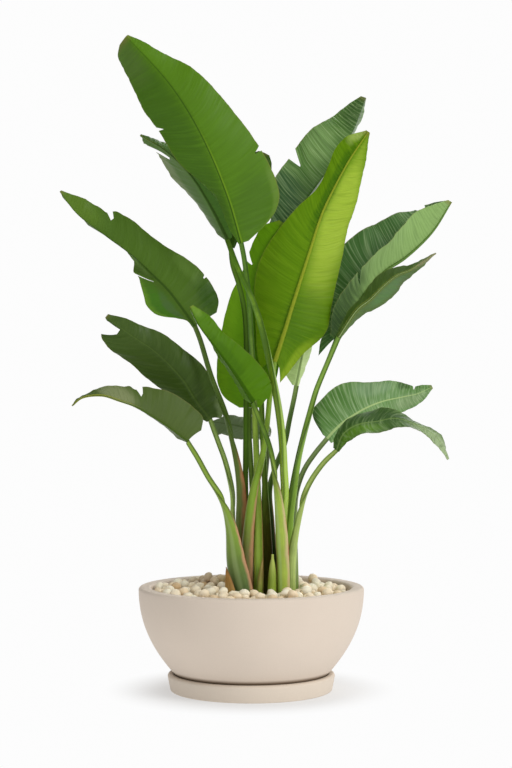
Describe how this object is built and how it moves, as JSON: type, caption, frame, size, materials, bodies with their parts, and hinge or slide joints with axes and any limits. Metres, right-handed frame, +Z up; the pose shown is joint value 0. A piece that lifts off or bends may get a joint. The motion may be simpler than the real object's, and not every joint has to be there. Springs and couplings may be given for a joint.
{
  "type": "potted bird of paradise plant",
  "caption": "Bird of paradise plant with long stalked paddle leaves, growing from pebble-topped soil in a wide round bowl on a saucer.",
  "frame": {"origin": "middle of the saucer's underside", "axes": "+Z up, from the floor to the tallest leaf; +X to the viewer's right; +Y away from the viewer"},
  "size_m": [0.802, 0.45, 1.3016],
  "materials": {
    "saucer_clay": "matte unglazed pale beige",
    "bowl_clay": "matte unglazed pale beige",
    "potting_soil": "dark crumbly soil",
    "rootstock_bark": "dry fibrous",
    "pebble_stone": "smooth cream stones",
    "petiole": "satin green stalk",
    "leaf_tall_left": "satin green leaf",
    "leaf_behind_left": "satin green leaf",
    "leaf_upper_back": "satin green leaf",
    "leaf_bright_centre": "satin green leaf",
    "leaf_right_upper_back": "satin green leaf",
    "leaf_right_upper_front": "satin green leaf",
    "leaf_young_front": "satin green leaf",
    "leaf_centre_left_back": "satin green leaf",
    "leaf_left_long": "satin green leaf",
    "leaf_left_mid": "satin green leaf",
    "leaf_left_low": "satin green leaf",
    "leaf_right_low_back": "satin green leaf",
    "leaf_right_low_front": "satin green leaf",
    "leaf_low_back": "satin green leaf",
    "leaf_back_right": "satin green leaf",
    "leaf_hidden_back": "satin green leaf",
    "shoot_front": "satin green shoot",
    "scale_left": "dry papery sheath",
    "scale_centre": "half dry sheath"
  },
  "bodies": {
    "root": {"saucer": "saucer_clay", "bowl": "bowl_clay", "soil": "potting_soil", "rootstock": "rootstock_bark", "pebbles": "pebble_stone", "stalk_tall_left": "petiole", "blade_tall_left": "leaf_tall_left", "stalk_behind_left": "petiole", "blade_behind_left": "leaf_behind_left", "stalk_upper_back": "petiole", "blade_upper_back": "leaf_upper_back", "stalk_bright_centre": "petiole", "blade_bright_centre": "leaf_bright_centre", "stalk_right_upper_back": "petiole", "blade_right_upper_back": "leaf_right_upper_back", "stalk_right_upper_front": "petiole", "blade_right_upper_front": "leaf_right_upper_front", "stalk_young_front": "petiole", "blade_young_front": "leaf_young_front", "stalk_centre_left_back": "petiole", "blade_centre_left_back": "leaf_centre_left_back", "stalk_left_long": "petiole", "blade_left_long": "leaf_left_long", "stalk_left_mid": "petiole", "blade_left_mid": "leaf_left_mid", "stalk_left_low": "petiole", "blade_left_low": "leaf_left_low", "stalk_right_low_back": "petiole", "blade_right_low_back": "leaf_right_low_back", "stalk_right_low_front": "petiole", "blade_right_low_front": "leaf_right_low_front", "stalk_low_back": "petiole", "blade_low_back": "leaf_low_back", "stalk_back_right": "petiole", "blade_back_right": "leaf_back_right", "stalk_hidden_back": "petiole", "blade_hidden_back": "leaf_hidden_back", "shoot_front": "shoot_front", "scale_left": "scale_left", "scale_centre": "scale_centre"}
  },
  "joints": []
}
